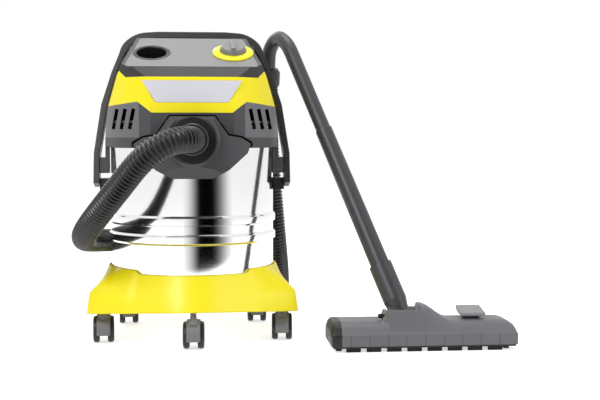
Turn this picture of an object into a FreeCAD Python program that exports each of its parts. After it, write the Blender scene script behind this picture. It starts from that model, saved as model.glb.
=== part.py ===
import FreeCAD, Part
import math
import os
import re
import Sketcher

# Wet and dry shop vacuum. Millimetres, +X to the user's right, +Y to the rear, +Z up,
# with the origin on the floor under the axis of the steel container.

V = FreeCAD.Vector
doc = FreeCAD.newDocument("ShopVacuum")

# ---------------------------------------------------------------------------------------
# Driving dimensions
# ---------------------------------------------------------------------------------------
SIZES = {
    # clearances
    "gap": 0.3, "running": 0.05, "shell_wall": 3,
    # container
    "can_radius": 156, "can_wall": 1.2, "can_bottom": 75, "can_top": 365, "can_corner": 10,
    "bead_low": 189, "bead_high": 223, "bead_height": 17, "bead_proud": 4,
    # chassis
    "base_radius": 177, "base_top": 134, "skirt_bottom": 66, "lobe_bottom": 56, "lobe_radius": 25,
    "seat_floor": 4, "stem_radius": 5.5, "stem_length": 17, "boss_radius": 12,
    "caster_front": 165, "caster_side": 167, "caster_side_front": 84,
    "caster_rear_side": 132, "caster_rear": 132,
    # casters
    "wheel_radius": 25, "wheel_width": 16, "web_half": 3, "hood_wall": 2.5, "axle_radius": 3,
    "caster_trail": 14,
    # collar on the container
    "collar_top": 408, "collar_inner": 138, "collar_wall": 5, "collar_flange": 158,
    "collar_skirt": 20, "flange_thick": 4,
    # suction port
    "port_height": 381, "port_bottom": 310, "port_top": 422, "port_front": 192,
    "port_half": 106, "recess_radius": 44, "recess_depth": 12,
    "inlet_bore": 17.6, "inlet_wall": 4, "inlet_inside": 34,
    # hose
    "hose_diameter": 46, "cuff_radius": 29, "hose_start": 214,
    # head
    "head_bottom": 366, "head_half": 164, "head_waist": 157, "waist_height": 440,
    "head_shoulder": 137, "shoulder_height": 500, "head_top_half": 105, "plan_radius": 168,
    "plan_shift": 4, "head_front": 146, "head_rear": 166, "band_height": 494,
    "panel_front": 118, "panel_front_height": 512, "panel_slope": 27, "panel_depth": 139,
    "panel_front_half": 122, "panel_rear_half": 100, "panel_thick": 4, "panel_proud": 1.2,
    "deck_ledge": 18, "channel_height": 555, "bulkhead": 411, "bulkhead_thick": 4,
    "fascia_bottom": 429, "fascia_bottom_half": 73, "fascia_knee_half": 99, "fascia_knee": 449,
    "fascia_side_bottom": 436, "fascia_end": 104, "peak_height": 506,
    "label_top_half": 91, "label_bottom_half": 66, "label_top": 487.5, "label_bottom": 447.5,
    "cover_bottom": 384, "cover_inner": 96, "cover_rear": 96, "slot_width": 7, "slot_height": 38,
    "port_cut_half": 110,
    # knob and blower port, measured along the sloping panel
    "dial_side": 77, "dial_up": 65, "dial_radius": 38.5, "cap_radius": 25, "cap_height": 14,
    "dial_height": 5, "dial_shaft": 4, "pointer_width": 9, "pointer_height": 5,
    "blow_side": 75, "blow_radius": 35, "blow_bore": 27.5, "blow_depth": 28, "grille_room": 4,
    # motor
    "motor_radius": 62, "motor_back": -22, "motor_height": 84, "shaft_radius": 5,
    "bearing_radius": 11, "bearing_height": 7, "fan_radius": 52, "fan_height": 12,
    "fan_room": 18, "armature_radius": 28,
    # filter
    "filter_half": 66, "filter_front": 52, "filter_rear": 132, "filter_frame": 9,
    "pleat_height": 38, "pleat_count": 9, "float_radius": 26, "float_y": 88,
    "float_travel": 18, "cage_depth": 70, "flap_half": 76, "flap_top": 516, "hinge_height": 438,
    # bow handle
    "bow_pivot": 330, "bow_lean": 15, "bow_width": 36, "bow_side": 188, "arm_thick": 11,
    "bow_reach": 266, "bar_thick": 13, "pin_radius": 6, "ear_half": 19,
    # wand
    "wand_x": 378, "wand_y": -184, "wand_z": 60, "wand_lean": 33.1, "wand_azimuth": 123.5,
    "barrel_radius": 17, "barrel_half": 24, "neck_radius": 21.5, "neck_length": 104,
    "tube_radius_low": 18, "tube_radius_high": 16.5, "tube_length": 300, "tube_wall": 1.8,
    "grip_radius": 14.5, "grip_length": 208, "grip_wall": 2,
    # floor nozzle
    "nozzle_left": 246, "nozzle_right": 584, "nozzle_front": -226, "nozzle_rear": -121,
    "nozzle_bottom": 11, "nozzle_top": 53, "nozzle_wall": 2.5, "hump_left": 336,
    "hump_right": 434, "hump_top": 83, "groove_width": 4, "groove_depth": 1.5,
    "strip_thick": 5, "tab_pitch": 37, "tab_width": 26, "tab_count": 8,
    "pedal_left": 488, "pedal_right": 532, "pedal_top": 72,
}
dim = doc.addObject("Spreadsheet::Sheet", "Dim")
for row, (name, number) in enumerate(SIZES.items(), 1):
    dim.set(f"A{row}", name)
    dim.set(f"B{row}", str(number))
    dim.setAlias(f"B{row}", name)
doc.recompute()


def d(text):
    """Expression text with each word that names a size turned into its cell."""
    return re.sub("[a-z_]+", lambda word: f"Dim.{word[0]}" if word[0] in SIZES else word[0],
                  str(text))


def value(text):
    """The number that an expression on the sizes gives."""
    return float(dim.evalExpression(d(text)))


# ---------------------------------------------------------------------------------------
# Ways of making a solid
# ---------------------------------------------------------------------------------------
NODES = {}
TURNS = {
    "Z": FreeCAD.Rotation(),
    "X": FreeCAD.Rotation(V(0, 1, 0), 90),
    "Y": FreeCAD.Rotation(V(1, 0, 0), -90),
}


def node(name, obj, placement=None):
    """Name a finished sub-part and, where it is made in a frame of its own, put it there."""
    obj.Label = name
    if placement is not None:
        obj.Placement = placement
    NODES[name] = obj
    return obj


def at(x, y, z, turn=None):
    return FreeCAD.Placement(V(value(x), value(y), value(z)), turn or FreeCAD.Rotation())


def cylinder(name, radius, height, x="0", y="0", z="0", along="Z", frame=None):
    solid = doc.addObject("Part::Cylinder", name)
    solid.setExpression("Radius", d(radius))
    solid.setExpression("Height", d(height))
    place = at(x, y, z, TURNS[along])
    solid.Placement = frame.multiply(place) if frame else place
    return solid


def cone(name, low_radius, high_radius, height, frame):
    solid = doc.addObject("Part::Cone", name)
    solid.setExpression("Radius1", d(low_radius))
    solid.setExpression("Radius2", d(high_radius))
    solid.setExpression("Height", d(height))
    solid.Placement = frame
    return solid


def box(name, x0, x1, y0, y1, z0, z1, frame=None):
    solid = doc.addObject("Part::Box", name)
    solid.setExpression("Length", d(f"({x1}) - ({x0})"))
    solid.setExpression("Width", d(f"({y1}) - ({y0})"))
    solid.setExpression("Height", d(f"({z1}) - ({z0})"))
    place = at(x0, y0, z0)
    solid.Placement = frame.multiply(place) if frame else place
    return solid


def fuse(name, solids):
    joined = doc.addObject("Part::MultiFuse", name)
    joined.Shapes = solids
    return joined


def common(name, solids):
    shared = doc.addObject("Part::MultiCommon", name)
    shared.Shapes = solids
    return shared


def cut(name, base, tools):
    """The base less every tool."""
    left = doc.addObject("Part::Cut", name)
    left.Base = base
    left.Tool = tools[0] if len(tools) == 1 else fuse(f"{name}_tools", tools)
    return left


def sketch_on(body, plane, points, start="0"):
    """A closed outline on an origin plane. A point is (x, y), or (x, y, r) where an arc of
    radius r runs to it from the point before: r > 0 bulges to the right of the way round."""
    drawing = body.newObject("Sketcher::SketchObject", f"{body.Name}_outline")
    support = [item for item in body.Origin.OriginFeatures if item.Role == plane][0]
    drawing.AttachmentSupport = [(support, "")]
    drawing.MapMode = "FlatFace"
    drawing.setExpression("AttachmentOffset.Base.z", d(start))
    places = [V(value(point[0]), value(point[1]), 0) for point in points]
    starts = []
    ends = []
    for index, point in enumerate(points):
        here = places[index]
        before = places[index - 1]
        if len(point) == 2:
            drawing.addGeometry(Part.LineSegment(before, here))
            starts.append(1)
            ends.append(2)
            continue
        radius = value(point[2])
        half = (here - before) * 0.5
        across = V(half.y, -half.x, 0).normalize()
        drop = math.sqrt(max(radius ** 2 - half.Length ** 2, 0))
        centre = before + half - across * math.copysign(drop, radius)
        first, last = (before, here) if radius > 0 else (here, before)
        angles = [math.atan2(end.y - centre.y, end.x - centre.x) for end in (first, last)]
        if angles[1] <= angles[0]:
            angles[1] += 2 * math.pi
        circle = Part.Circle(centre, V(0, 0, 1), abs(radius))
        drawing.addGeometry(Part.ArcOfCircle(circle, angles[0], angles[1]))
        starts.append(1 if radius > 0 else 2)
        ends.append(2 if radius > 0 else 1)
    for index, point in enumerate(points):
        after = (index + 1) % len(points)
        join = Sketcher.Constraint("Coincident", index, ends[index], after, starts[after])
        drawing.addConstraint(join)
        for kind, text, number in (("DistanceX", point[0], places[index].x),
                                   ("DistanceY", point[1], places[index].y)):
            fixed = Sketcher.Constraint(kind, -1, 1, index, ends[index], number)
            drawing.setExpression(f"Constraints[{drawing.addConstraint(fixed)}]", d(text))
        if len(point) == 3:
            size = point[2] if value(point[2]) > 0 else f"-( {point[2]} )"
            curve = Sketcher.Constraint("Radius", index, value(size))
            drawing.setExpression(f"Constraints[{drawing.addConstraint(curve)}]", d(size))
    return drawing


def slab(name, plane, points, low, high):
    """An outline on XY, XZ or YZ carried from low to high along the axis across it."""
    body = doc.addObject("PartDesign::Body", name)
    start = f"-( {high} )" if plane == "XZ" else low
    drawing = sketch_on(body, f"{plane}_Plane", points, start)
    pad = body.newObject("PartDesign::Pad", f"{name}_pad")
    pad.Profile = drawing
    pad.setExpression("Length", d(f"( {high} ) - ( {low} )"))
    return body


def turned(name, points, placement=None):
    """A profile of (radius, height) points turned about the Z axis."""
    body = doc.addObject("PartDesign::Body", name)
    drawing = sketch_on(body, "XZ_Plane", points)
    spin = body.newObject("PartDesign::Revolution", f"{name}_spin")
    spin.Profile = drawing
    spin.ReferenceAxis = (drawing, ["V_Axis"])
    spin.Angle = 360
    if placement is not None:
        body.Placement = placement
    return body


def mirrored(points):
    """An outline from its right half, listed upwards, and that half's mirror image."""
    return points + [(f"-( {point[0]} )",) + tuple(point[1:]) for point in reversed(points)]


def ring(inner, outer, low, high):
    """The profile of a plain ring."""
    return [(inner, low), (outer, low), (outer, high), (inner, high)]


# ---------------------------------------------------------------------------------------
# Chassis: a five-lobed tray with a seat for the container and a socket over each caster
# ---------------------------------------------------------------------------------------
CASTERS = [
    ("front", "0", "- caster_front", 88),
    ("left", "- caster_side", "- caster_side_front", 93),
    ("right", "caster_side", "- caster_side_front", 86),
    ("rear_left", "- caster_rear_side", "caster_rear", 94),
    ("rear_right", "caster_rear_side", "caster_rear", 89),
]


def at_casters(name, radius, low, high):
    return [cylinder(f"{name}_{place}", radius, f"( {high} ) - ( {low} )", x, y, low)
            for place, x, y, angle in CASTERS]


def chassis_base():
    drum = cylinder("drum", "base_radius", "base_top - skirt_bottom", z="skirt_bottom")
    outside = fuse("base_outside", [drum] + at_casters("lobe", "lobe_radius", "lobe_bottom",
                                                       "base_top"))
    seat = cylinder("seat", "can_radius + gap", "base_top", z="can_bottom")
    below = cylinder("below_seat", "can_radius + gap", "can_bottom - seat_floor")
    cavity = fuse("cavity", [cylinder("ring_cavity", "base_radius - shell_wall",
                                      "base_top - shell_wall")]
                  + at_casters("lobe_cavity", "lobe_radius - shell_wall", "0",
                               "base_top - shell_wall"))
    wall = cylinder("seat_wall", "can_radius + gap + shell_wall", "base_top")
    hollow = cut("hollow", cavity, [wall])
    shell = cut("base_shell", outside, [seat, below, hollow])
    bosses = cut("bosses", fuse("boss_pillars", at_casters("boss", "boss_radius", "lobe_bottom",
                                                           "base_top")),
                 [cylinder("boss_limit", "can_radius + gap", "base_top", z="can_bottom")])
    sockets = at_casters("socket", "stem_radius + running", "0", "lobe_bottom + stem_length + 2")
    holes = screw_places("screw_hole", "2.2", "can_bottom - seat_floor", "seat_floor")
    node("chassis_base", cut("chassis", fuse("shell_and_bosses", [shell, bosses]),
                             sockets + holes))


def screw_places(name, radius, low, height):
    """Four cylinders on a circle under the container's floor."""
    reach = value("can_radius") * 0.6
    made = []
    for turn in (45, 135, 225, 315):
        x = reach * math.cos(math.radians(turn))
        y = reach * math.sin(math.radians(turn))
        made.append(cylinder(f"{name}_{turn}", radius, height, x, y, low))
    return made


def chassis_screws():
    shanks = screw_places("shank", "2", "can_bottom - seat_floor", "seat_floor")
    heads = screw_places("screw_head", "5", "can_bottom - seat_floor - 3", "3")
    pairs = [fuse("chassis_screw", [shank, head]) for shank, head in zip(shanks, heads)]
    screws = doc.addObject("Part::Compound", "chassis_screw_set")
    screws.Links = pairs
    node("chassis_screws", screws)


chassis_base()
chassis_screws()

# ---------------------------------------------------------------------------------------
# Casters: twin wheels on an axle under a hood, which turns on a stem in the chassis
# ---------------------------------------------------------------------------------------


def caster(place, x, y, angle):
    frame = at(x, y, "0", FreeCAD.Rotation(V(0, 0, 1), angle))
    wheel = "wheel_radius"
    half = "web_half + wheel_width + gap * 2 + hood_wall"
    hood_radius = "wheel_radius + gap * 3 + hood_wall"

    def along_axle(name, radius, low, high):
        # the axle lies along the caster's own Y, behind the stem by the trail
        return cylinder(name, radius, f"( {high} ) - ( {low} )", "caster_trail", low, wheel,
                        "Y", frame)

    dome = along_axle("dome", hood_radius, f"-( {half} )", half)
    keep = box("keep", f"caster_trail - ( {hood_radius} )", f"caster_trail + ( {hood_radius} )",
               f"-( {half} )", half, "wheel_radius - 2", f"wheel_radius + {hood_radius}", frame)
    rooms = [along_axle("room", "wheel_radius + gap * 3", "web_half",
                        "web_half + wheel_width + gap * 2"),
             along_axle("room", "wheel_radius + gap * 3", "- web_half - wheel_width - gap * 2",
                        "- web_half")]
    hood = cut("hood", common("hood_form", [dome, keep]), rooms)
    web = box("web", "0", "caster_trail + axle_radius * 2", "- web_half", "web_half",
              "wheel_radius - axle_radius * 2", "wheel_radius + 12", frame)
    axle = along_axle("axle", "axle_radius", "- web_half - wheel_width", "web_half + wheel_width")
    stem = cylinder("stem", "stem_radius", "stem_length + lobe_bottom - wheel_radius - 14",
                    z="wheel_radius + 14", frame=frame)
    shoulder = cylinder("shoulder", "stem_radius + 4", "lobe_bottom - gap - wheel_radius - 14",
                        z="wheel_radius + 14", frame=frame)
    outer = cut("stem_and_shoulder", fuse("upright", [stem, shoulder]), [
        along_axle("clear", "wheel_radius + gap * 3", "web_half", "web_half + wheel_width"),
        along_axle("clear", "wheel_radius + gap * 3", "- web_half - wheel_width", "- web_half")])
    node(f"caster_{place}_hood", fuse(f"hood_{place}", [hood, web, axle, outer]))
    tread = [("axle_radius + running", "0"), ("wheel_radius - 6", "0"),
             ("wheel_radius", "4"), ("wheel_radius", "wheel_width - 2"),
             ("wheel_radius - 2", "wheel_width"), ("axle_radius + running", "wheel_width")]
    pair = doc.addObject("Part::Compound", f"wheels_{place}")
    outward = {1: FreeCAD.Rotation(V(1, 0, 0), 90), -1: FreeCAD.Rotation(V(1, 0, 0), -90)}
    pair.Links = [turned("wheel", tread, frame.multiply(
        at("caster_trail", f"{side} * ( web_half + gap + wheel_width )", wheel, outward[side])))
        for side in (1, -1)]
    node(f"caster_{place}_wheels", pair)


for place, x, y, angle in CASTERS:
    caster(place, x, y, angle)

# ---------------------------------------------------------------------------------------
# Container: a turned steel can with two outward beads, and the collar on its top edge
# ---------------------------------------------------------------------------------------


def container():
    outer = "can_radius"
    inner = "can_radius - can_wall"
    bulge = "( bead_height * bead_height / 4 + bead_proud * bead_proud ) / ( 2 * bead_proud )"
    profile = [("0", "can_bottom"), (f"{outer} - can_corner", "can_bottom"),
               (outer, "can_bottom + can_corner", "can_corner")]
    for bead in ("bead_low", "bead_high"):
        profile += [(outer, bead), (outer, f"{bead} + bead_height", bulge)]
    profile += [(outer, "can_top"), (inner, "can_top")]
    for bead in ("bead_high", "bead_low"):
        profile += [(inner, f"{bead} + bead_height"), (inner, bead, f"-( {bulge} )")]
    profile += [(inner, "can_bottom + can_corner"),
                (f"{outer} - can_corner", "can_bottom + can_wall", "-( can_corner - can_wall )"),
                ("0", "can_bottom + can_wall")]
    can = turned("can", profile)
    notch = cylinder("notch", "inlet_bore + inlet_wall + gap", "can_radius * 2", "0",
                     "-( can_radius * 2 )", "port_height", "Y")
    node("container", cut("can_with_notch", can, [notch]))


def container_collar():
    skirt_outer = "can_radius - can_wall - gap"
    upper_outer = "collar_inner + collar_wall"
    profile = [("collar_inner", "can_top"), ("can_radius - can_wall - 5", "can_top"),
               ("can_radius - can_wall - 5", "can_top - collar_skirt"),
               (skirt_outer, "can_top - collar_skirt"), (skirt_outer, "can_top"),
               ("collar_flange", "can_top"), ("collar_flange", "can_top + flange_thick"),
               (upper_outer, "can_top + flange_thick"), (upper_outer, "collar_top"),
               ("collar_inner", "collar_top")]
    hole = cylinder("collar_hole", "inlet_bore + inlet_wall + gap", "can_radius * 2", "0",
                    "-( can_radius * 2 )", "port_height", "Y")
    node("container_collar", cut("collar", turned("collar_ring", profile), [hole]))


def side_lugs():
    lugs = [box("lug", "can_radius + gap", "bow_side - arm_thick - gap", "-16", "16",
                "bow_pivot - 46", "bow_pivot - 24"),
            box("lug", "-( bow_side - arm_thick - gap )", "-( can_radius + gap )", "-16", "16",
                "bow_pivot - 46", "bow_pivot - 24")]
    around = cylinder("lug_clear", "can_radius + gap", "can_top")
    pair = cut("lug_pair", fuse("lugs", lugs), [around])
    node("side_lugs", pair)


container()
container_collar()
side_lugs()

# ---------------------------------------------------------------------------------------
# Suction port: apron on the container's front, its lined socket and seal
# ---------------------------------------------------------------------------------------


def port_housing():
    face = slab("apron_face", "XZ", mirrored([
        ("36", "port_bottom"), ("66", "port_bottom + 16"), ("port_half - 6", "port_bottom + 46"),
        ("port_half", "port_top - 49"), ("port_half - 18", "port_top - 38"),
        ("64", "port_top - 34"), ("40", "port_top")]), "-( port_front )", "-60")
    side = slab("apron_side", "YZ", [
        ("-90", "port_bottom"), ("-( port_front - 24 )", "port_bottom"),
        ("-( port_front - 4 )", "port_bottom + 28"), ("-( port_front )", "port_height"),
        ("-( port_front - 14 )", "port_top"), ("-90", "port_top")], "-( port_half )", "port_half")
    bulge = cylinder("apron_plan", "port_front - 8", "can_top", "0", "0", "port_bottom - 5")
    nose = cylinder("apron_nose", "recess_radius + 6", "port_front", "0", "-( port_front )",
                    "port_height", "Y")
    plan = fuse("apron_plan_and_nose", [bulge, nose])
    can = cylinder("apron_clear", "collar_flange + gap", "can_top + 100")
    recess = cylinder("recess", "recess_radius", "recess_depth + 10", "0", "-( port_front + 10 )",
                      "port_height", "Y")
    hole = cylinder("apron_hole", "inlet_bore + inlet_wall + gap", "port_front", "0",
                    "-( port_front )", "port_height", "Y")
    solid = common("apron", [face, side, plan])
    node("port_housing", cut("apron_cut", solid, [can, recess, hole]))


def inlet_socket():
    flange_at = "port_front - recess_depth"
    frame = at("0", f"-( {flange_at} )", "port_height", TURNS["Y"])
    profile = [("inlet_bore", "-3"), ("recess_radius - 4", "-3"), ("recess_radius - 4", "0"),
               ("inlet_bore + inlet_wall", "0"), ("inlet_bore + inlet_wall", f"{flange_at} - 108"),
               ("inlet_bore", f"{flange_at} - 108")]
    node("inlet_socket", turned("socket_tube", profile, frame))
    seal = ring("inlet_bore + 1", "inlet_bore + inlet_wall + 5", "-6", "-3")
    node("inlet_seal", turned("seal_ring", seal, frame))


port_housing()
inlet_socket()

# ---------------------------------------------------------------------------------------
# Hose: a corrugated tube from the port, round the container's left and back, to the grip
# ---------------------------------------------------------------------------------------


def wand_frame():
    """The wand's own frame: Z runs up the tubes from the pivot in the floor nozzle."""
    azimuth = math.radians(value("wand_azimuth"))
    axis = V(-math.sin(azimuth), math.cos(azimuth), 0)
    return at("wand_x", "wand_y", "wand_z", FreeCAD.Rotation(axis, value("wand_lean")))


def hose_route():
    return [V(*point) for point in (
        (0, -214, 381), (0, -251, 381), (-20, -286, 382), (-56, -300, 370), (-90, -291, 343),
        (-120, -267, 305), (-150, -238, 268), (-176, -200, 236), (-194, -150, 212),
        (-202, -82, 196), (-198, 0, 186), (-178, 84, 178), (-132, 162, 170),
        (-84, 236, 150), (-50, 310, 108), (-14, 396, 66), (30, 474, 36), (98, 512, 25),
        (160, 490, 25), (191, 426, 25), (194, 352, 31), (190, 284, 72), (181, 240, 146),
        (172, 222, 236), (164, 212, 322), (158.5, 203, 402), (156.9, 191.3, 446.8),
        (158.1, 178.7, 494.8))]


def bent_tube(name, points, radius, hollow=None):
    """A round tube along straight runs joined by tangent arcs, each 0.45 of its shorter run."""
    edges = []
    start = points[0]
    report = []
    for before, corner, after in zip(points, points[1:], points[2:]):
        arriving = (corner - before).normalize()
        leaving = (after - corner).normalize()
        half_turn = arriving.getAngle(leaving) / 2
        reach = 0.45 * min((corner - before).Length, (after - corner).Length)
        bend = reach / math.tan(half_turn)
        report.append(bend)
        first = corner - arriving * reach
        last = corner + leaving * reach
        inward = (leaving - arriving).normalize()
        middle = corner + inward * (bend / math.cos(half_turn) - bend)
        edges.append(Part.LineSegment(start, first).toShape())
        edges.append(Part.Arc(first, middle, last).toShape())
        start = last
    edges.append(Part.LineSegment(start, points[-1]).toShape())
    path = Part.Wire(edges)
    heading = points[1] - points[0]
    section = Part.Wire([Part.Circle(points[0], heading, radius).toShape()])
    solid = path.makePipeShell([section], True, False)
    if hollow:
        bore = Part.Wire([Part.Circle(points[0], heading, hollow).toShape()])
        solid = solid.cut(path.makePipeShell([bore], True, False))
    expected = math.pi * (radius ** 2 - (hollow or 0) ** 2) * path.Length
    print(f"{name}: length {path.Length:.0f}, volume ratio {solid.Volume / expected:.4f}, radii",
          [round(bend) for bend in report])
    tube = doc.addObject("Part::Feature", name)
    tube.Shape = solid
    return tube


def hose_cuff_port():
    frame = at("0", "-( hose_start )", "port_height", TURNS["Y"])
    profile = [("0", "0"), ("cuff_radius - 3", "0"), ("cuff_radius", "3"),
               ("cuff_radius", "hose_start - port_front + recess_depth - 6.5"),
               ("inlet_bore - gap", "hose_start - port_front + recess_depth - 6.5"),
               ("inlet_bore - gap", "hose_start - port_front + recess_depth + inlet_inside"),
               ("0", "hose_start - port_front + recess_depth + inlet_inside")]
    node("hose_cuff_port", turned("port_cuff", profile, frame))


node("hose", bent_tube("hose_tube", hose_route(), value("hose_diameter / 2")))
hose_cuff_port()


# ---------------------------------------------------------------------------------------
# Head: one outer form, cut into the shells that screw together round the motor
# ---------------------------------------------------------------------------------------
PANEL_RISE = "panel_front_height + panel_depth * sin( panel_slope * 1deg )"
PANEL_REACH = "panel_depth * cos( panel_slope * 1deg ) - panel_front"


def head_form(name, inset, low):
    """The head's outer form, every face moved in by inset, from the height low upwards."""
    rise = PANEL_RISE
    face = slab(f"{name}_face", "XZ", mirrored([
        (f"head_half - {inset}", low), (f"head_half - {inset}", "head_bottom + 30"),
        (f"head_waist - {inset}", "waist_height"),
        (f"head_shoulder - {inset}", f"shoulder_height - {inset}"),
        (f"head_top_half - {inset}", f"{rise} - {inset}")]), "- plan_radius", "plan_radius")
    side = slab(f"{name}_side", "YZ", [
        (f"{inset} - head_front", low), (f"{inset} - head_front", "fascia_knee"),
        (f"{inset} - head_front + 4", f"band_height - {inset}"),
        (f"{inset} - panel_front - 8", f"panel_front_height - {inset}"),
        ("- panel_front", f"panel_front_height - {inset}"),
        (PANEL_REACH, f"{rise} - {inset}"),
        (f"{PANEL_REACH} + deck_ledge - {inset}", f"{rise} - {inset}"),
        (f"{PANEL_REACH} + deck_ledge + 12 - {inset}", f"channel_height - {inset}"),
        ("98", f"channel_height - 6 - {inset}"),
        (f"head_rear - 16 - {inset}", f"flap_top + 6 - {inset}"),
        (f"head_rear - {inset}", "fascia_knee + 16"), (f"head_rear - {inset}", low)],
        "-( head_half + 5 )", "head_half + 5")
    plan = cylinder(f"{name}_plan", f"plan_radius - {inset}", f"{rise} - ( {low} ) + 5", "0",
                    "plan_shift", low)
    return common(name, [face, side, plan])


def head_shells():
    outer = head_form("head_outer", "0", "head_bottom")
    inner = head_form("head_inner", "shell_wall", "head_bottom - 5")
    skin = cut("head_skin", outer, [inner])
    far = "plan_radius + 40"

    def region(name, outline, low, high, plane="XZ"):
        return slab(name, plane, outline, low, high)

    fascia = region("fascia_region", [
        ("- fascia_bottom_half", "fascia_bottom"), ("fascia_bottom_half", "fascia_bottom"),
        ("fascia_knee_half", "fascia_knee"), (far, "fascia_side_bottom"),
        (far, "peak_height"), ("head_shoulder - 4", "peak_height"),
        ("label_top_half + 30", "band_height"), ("-( label_top_half + 30 )", "band_height"),
        ("-( head_shoulder - 4 )", "peak_height"), (f"-( {far} )", "peak_height"),
        (f"-( {far} )", "fascia_side_bottom"), ("- fascia_knee_half", "fascia_knee")],
        "-( plan_radius + 5 )", "fascia_end")
    covers = [box(f"cover_region_{side}", low, high, f"-( {far} )", "cover_rear",
                  "cover_bottom", "fascia_knee")
              for side, low, high in (("right", "cover_inner", far),
                                      ("left", f"-( {far} )", "- cover_inner"))]
    upper = fuse("upper_region", [
        box("above_covers", f"-( {far} )", far, f"-( {far} )", far, "fascia_knee", "700"),
        box("rear_of_covers", f"-( {far} )", far, "cover_rear", far, "fascia_side_bottom", "700")])
    port = region("port_region", mirrored([
        ("port_cut_half", "head_bottom - 10"), ("port_cut_half", "port_top - 46"),
        ("port_half - 16", "port_top - 35"), ("66", "port_top - 31"), ("42", "port_top + 3")]),
        "-( plan_radius + 5 )", "-60")
    flap = box("flap_region", "- flap_half", "flap_half", "110", far, "fascia_side_bottom - 1",
               "flap_top")
    panel = panel_solid("panel_region", "gap", "30")

    node("front_fascia", cut("fascia", common("fascia_skin", [skin, fascia]),
                             [label_solid("label_seat", "1")]))
    cover_skins = []
    for side, cover in zip(("right", "left"), covers):
        sign = 1 if side == "right" else -1
        slots = [slot_cutter(f"vent_{side}_{index}", sign, index) for index in range(3)]
        cover_skins.append(common(f"cover_{side}_skin", [skin, cover]))
        node(f"side_cover_{side}", cut(f"cover_{side}", cover_skins[-1], [fascia] + slots))
    node("top_lid", cut("lid", common("lid_skin", [skin, upper]), [fascia, panel, flap] + covers))
    rest = cut("lower_skin", skin, [fascia, upper, port] + covers)
    plate = common("bulkhead_plate", [
        head_form("bulkhead_form", "( shell_wall - 0.5 )", "head_bottom - 5"),
        box("bulkhead_slab", f"-( {far} )", far, f"-( {far} )", far, "bulkhead",
            "bulkhead + bulkhead_thick")])
    plate = cut("plate_by_covers", plate, cover_skins)
    knuckles = [hinge_knuckle("lower_knuckle", low, high)
                for low, high in (("-60", "-40"), ("40", "60"))]
    knuckles = cut("lower_knuckles", fuse("lower_knuckle_set", knuckles),
                   [cylinder("pin_bore", "2.2", "200", "-100", "head_rear", "hinge_height", "X")])
    ears = []
    for outer_face, bottom, top in (("bow_side - arm_thick - 1.5", "bow_pivot - 14",
                                     "bow_pivot + 16"),
                                    ("head_half + 1.5", "bow_pivot + 10", "head_bottom + 36")):
        inner_face = "can_radius + gap + 3"
        ears.append(box("ear", inner_face, outer_face, "- ear_half", "ear_half", bottom, top))
        ears.append(box("ear", f"-( {outer_face} )", f"-( {inner_face} )", "- ear_half",
                        "ear_half", bottom, top))
    ear_inside = cylinder("ear_inside", "collar_flange + gap * 3", "can_top * 2")
    ears = cut("ears", fuse("ear_boxes", ears), [
        ear_inside, cylinder("ear_bore", "pin_radius + gap", "500", "-250", "0", "bow_pivot", "X")])
    upper_ears = box("ear_limit", "-( head_half - 1 )", "head_half - 1", "-50", "50", "cover_bottom",
                     "bulkhead + 20")
    ears = cut("ears_below_covers", ears, [upper_ears] + covers)
    holes = [cylinder("float_hole", "float_radius - 6", "30", "0", "float_y", "bulkhead - 10"),
             cylinder("gland_hole", "9 + gap", "60", "-92", "115", "396", "Y")]
    holes += motor_screw_places("screw_way", "2.2", "bulkhead - 10", "20")
    flap_clear = cylinder("flap_clear", "5", "80", "-40", "head_rear", "hinge_height", "X")
    node("head_lower_housing", cut("lower", fuse("lower_parts", [rest, plate, knuckles, ears]),
                                   holes + [flap_clear]))
    knuckle = hinge_knuckle("flap_knuckle", "-39", "39")
    lifted = box("flap_window", "-( flap_half - gap )", "flap_half - gap", "110", far,
                 "fascia_side_bottom + gap", "flap_top - gap")
    node("filter_cover", cut("flap", fuse("flap_parts", [
        cut("flap_less_knuckles", common("flap_skin", [skin, lifted]), [
            cylinder("room", "4.8", "22", low, "head_rear", "hinge_height", "X")
            for low in ("-61", "39")]), knuckle]),
        [cylinder("flap_bore", "2.05", "200", "-100", "head_rear", "hinge_height", "X")]))
    node("flap_pin", cylinder("hinge_pin", "2", "118", "-59", "head_rear", "hinge_height", "X"))


def hinge_knuckle(name, low, high):
    return cylinder(name, "4.5", f"( {high} ) - ( {low} )", low, "head_rear", "hinge_height", "X")


def slot_cutter(name, sign, index):
    """One of three leaning vent slots through a side cover."""
    lean = FreeCAD.Rotation(V(0, 1, 0), -12 * sign)
    reach = value("cover_inner") + 14 + index * 16
    frame = FreeCAD.Placement(V(sign * reach, -190, value("cover_bottom + 34")), lean)
    return box(name, "- slot_width / 2", "slot_width / 2", "0", "150", "- slot_height / 2",
               "slot_height / 2", frame)


def label_solid(name, proud):
    return slab(name, "XZ", mirrored([("label_bottom_half", "label_bottom"),
                                      ("label_top_half", "label_top")]),
                f"-( head_front + {proud} )", "-( head_front - 4 )")


def panel_frame():
    return at("0", "- panel_front", "panel_front_height",
              FreeCAD.Rotation(V(1, 0, 0), value("panel_slope")))


def panel_solid(name, spare, up):
    """The control panel's outline with rounded corners, in place, grown by spare."""
    low = f"panel_front_half + {spare}"
    high = f"panel_rear_half + {spare}"
    outline = [(f"{low} - 8", f"2 - {spare}"), (low, "10", "9"),
               (high, "panel_depth - 14"), (f"{high} - 9", f"panel_depth - 4 + {spare}", "10")]
    solid = slab(name, "XY", outline + [(f"-( {high} - 9 )", f"panel_depth - 4 + {spare}"),
                 (f"-( {high} )", "panel_depth - 14", "10"), (f"-( {low} )", "10"),
                 (f"-( {low} - 8 )", f"2 - {spare}", "9")], "- panel_thick", up)
    solid.Placement = panel_frame()
    return solid


def on_panel(x, y, z="0", turn=None):
    return panel_frame().multiply(at(x, y, z, turn))


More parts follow.
